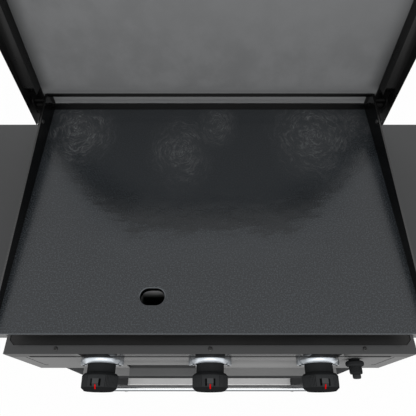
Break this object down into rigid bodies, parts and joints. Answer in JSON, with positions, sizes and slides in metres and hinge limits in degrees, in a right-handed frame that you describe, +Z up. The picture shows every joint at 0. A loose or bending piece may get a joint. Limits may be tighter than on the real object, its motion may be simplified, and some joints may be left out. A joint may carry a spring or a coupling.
{
  "type": "outdoor gas griddle station",
  "caption": "Gas griddle on an open cart: flat cooking plate, hinged lid, control panel with knobs, grease tray, side shelves and swivel casters.",
  "frame": {"origin": "on the floor, under the middle of the whole station's box with the lid open", "axes": "+Z up, front (knobs) towards -Y, +X to the right of someone who faces the knobs"},
  "size_m": [1.3844, 0.6744, 1.4803],
  "materials": {
    "griddle_coating": "matte speckled coating on carbon steel",
    "black_enamel": "smooth black paint",
    "firebox_steel": "bare steel, heat-marked",
    "panel_paint": "glossy dark grey paint",
    "frame_paint": "satin dark grey paint",
    "shelf_paint": "satin grey paint",
    "pale_paint": "light grey paint",
    "bright_chrome": "polished",
    "zinc_steel": "zinc plated",
    "valve_brass": "machined",
    "black_screws": "black oxide",
    "knob_plastic": "fine matte moulding",
    "spark_ceramic": "glazed ceramic",
    "wheel_rubber": "satin"
  },
  "bodies": {
    "root": {"bottom_shelf": "pale_paint", "burner_left": "firebox_steel", "burner_middle": "firebox_steel", "burner_right": "firebox_steel", "cart_screws": "black_screws", "caster_sockets": "zinc_steel", "control_panel": "panel_paint", "crossover_channel": "firebox_steel", "electrodes": "spark_ceramic", "firebox_shell": "firebox_steel", "frame_rails": "frame_paint", "front_legs": "frame_paint", "front_rail": "frame_paint", "gas_inlet": "valve_brass", "gas_manifold": "zinc_steel", "gas_valves": "valve_brass", "grease_chute": "firebox_steel", "griddle_feet": "firebox_steel", "griddle_plate": "griddle_coating", "heat_shield": "black_enamel", "hinge_brackets": "black_enamel", "hinge_pins": "bright_chrome", "igniter_body": "knob_plastic", "igniter_module": "knob_plastic", "igniter_nut": "black_screws", "knob_bezels": "bright_chrome", "manifold_brackets": "black_enamel", "panel_screws": "black_screws", "rear_legs": "frame_paint", "shelf_arms": "frame_paint", "side_shelf_left": "shelf_paint", "side_shelf_right": "shelf_paint", "towel_bar": "bright_chrome", "tray_runners": "black_enamel", "wall_screws": "black_screws"},
    "lid": {"lid_shell": "black_enamel", "lid_hubs": "black_enamel", "lid_handle": "bright_chrome", "handle_posts": "knob_plastic"},
    "tray": {"grease_tray": "panel_paint"},
    "igniter": {"igniter_button": "knob_plastic"},
    "left_push": {"spring_seat_left": "black_screws"},
    "left_knob": {"knob_left": "knob_plastic", "valve_stem_left": "valve_brass"},
    "middle_push": {"spring_seat_middle": "black_screws"},
    "middle_knob": {"knob_middle": "knob_plastic", "valve_stem_middle": "valve_brass"},
    "right_push": {"spring_seat_right": "black_screws"},
    "right_knob": {"knob_right": "knob_plastic", "valve_stem_right": "valve_brass"},
    "fork_front_left": {"caster_fork_front_left": "zinc_steel"},
    "wheel_front_left": {"caster_wheel_front_left": "wheel_rubber"},
    "brake_front_left": {"brake_lever_front_left": "knob_plastic"},
    "fork_front_right": {"caster_fork_front_right": "zinc_steel"},
    "wheel_front_right": {"caster_wheel_front_right": "wheel_rubber"},
    "brake_front_right": {"brake_lever_front_right": "knob_plastic"},
    "fork_rear_left": {"caster_fork_rear_left": "zinc_steel"},
    "wheel_rear_left": {"caster_wheel_rear_left": "wheel_rubber"},
    "fork_rear_right": {"caster_fork_rear_right": "zinc_steel"},
    "wheel_rear_right": {"caster_wheel_rear_right": "wheel_rubber"}
  },
  "joints": [
    {"name": "lid_hinge", "type": "hinge", "parent": "root", "child": "lid", "pos_m": [0, 0.22877, 0.925], "axis": [1, 0, 0], "range_deg": [0, 95]},
    {"name": "tray_slide", "type": "slide", "parent": "root", "child": "tray", "axis": [0, -1, 0], "range_m": [0, 0.14]},
    {"name": "igniter_push", "type": "slide", "parent": "root", "child": "igniter", "axis": [0, 1, 0], "range_m": [0, 0.005], "stiffness_N_per_m": 900, "springref_m": -0.003},
    {"name": "left_knob_push", "type": "slide", "parent": "root", "child": "left_push", "axis": [0, 1, 0], "range_m": [0, 0.004], "stiffness_N_per_m": 1500, "springref_m": -0.003},
    {"name": "left_knob_turn", "type": "hinge", "parent": "left_push", "child": "left_knob", "pos_m": [-0.203, -0.28423, 0.777], "axis": [0, -1, 0], "range_deg": [0, 130]},
    {"name": "middle_knob_push", "type": "slide", "parent": "root", "child": "middle_push", "axis": [0, 1, 0], "range_m": [0, 0.004], "stiffness_N_per_m": 1500, "springref_m": -0.003},
    {"name": "middle_knob_turn", "type": "hinge", "parent": "middle_push", "child": "middle_knob", "pos_m": [0, -0.28423, 0.777], "axis": [0, -1, 0], "range_deg": [0, 130]},
    {"name": "right_knob_push", "type": "slide", "parent": "root", "child": "right_push", "axis": [0, 1, 0], "range_m": [0, 0.004], "stiffness_N_per_m": 1500, "springref_m": -0.003},
    {"name": "right_knob_turn", "type": "hinge", "parent": "right_push", "child": "right_knob", "pos_m": [0.203, -0.28423, 0.777], "axis": [0, -1, 0], "range_deg": [0, 130]},
    {"name": "swivel_front_left", "type": "hinge", "parent": "root", "child": "fork_front_left", "pos_m": [-0.288, -0.26923, 0.0817], "axis": [0, 0, 1], "continuous": true},
    {"name": "roll_front_left", "type": "hinge", "parent": "fork_front_left", "child": "wheel_front_left", "pos_m": [-0.288, -0.24523, 0.032], "axis": [1, 0, 0], "continuous": true},
    {"name": "brake_press_front_left", "type": "hinge", "parent": "fork_front_left", "child": "brake_front_left", "pos_m": [-0.288, -0.25523, 0.071], "axis": [-1, 0, 0], "range_deg": [0, 14]},
    {"name": "swivel_front_right", "type": "hinge", "parent": "root", "child": "fork_front_right", "pos_m": [0.288, -0.26923, 0.0817], "axis": [0, 0, 1], "continuous": true},
    {"name": "roll_front_right", "type": "hinge", "parent": "fork_front_right", "child": "wheel_front_right", "pos_m": [0.288, -0.24523, 0.032], "axis": [1, 0, 0], "continuous": true},
    {"name": "brake_press_front_right", "type": "hinge", "parent": "fork_front_right", "child": "brake_front_right", "pos_m": [0.288, -0.25523, 0.071], "axis": [-1, 0, 0], "range_deg": [0, 14]},
    {"name": "swivel_rear_left", "type": "hinge", "parent": "root", "child": "fork_rear_left", "pos_m": [-0.288, 0.21927, 0.0817], "axis": [0, 0, 1], "continuous": true},
    {"name": "roll_rear_left", "type": "hinge", "parent": "fork_rear_left", "child": "wheel_rear_left", "pos_m": [-0.288, 0.24327, 0.032], "axis": [1, 0, 0], "continuous": true},
    {"name": "swivel_rear_right", "type": "hinge", "parent": "root", "child": "fork_rear_right", "pos_m": [0.288, 0.21927, 0.0817], "axis": [0, 0, 1], "continuous": true},
    {"name": "roll_rear_right", "type": "hinge", "parent": "fork_rear_right", "child": "wheel_rear_right", "pos_m": [0.288, 0.24327, 0.032], "axis": [1, 0, 0], "continuous": true}
  ]
}
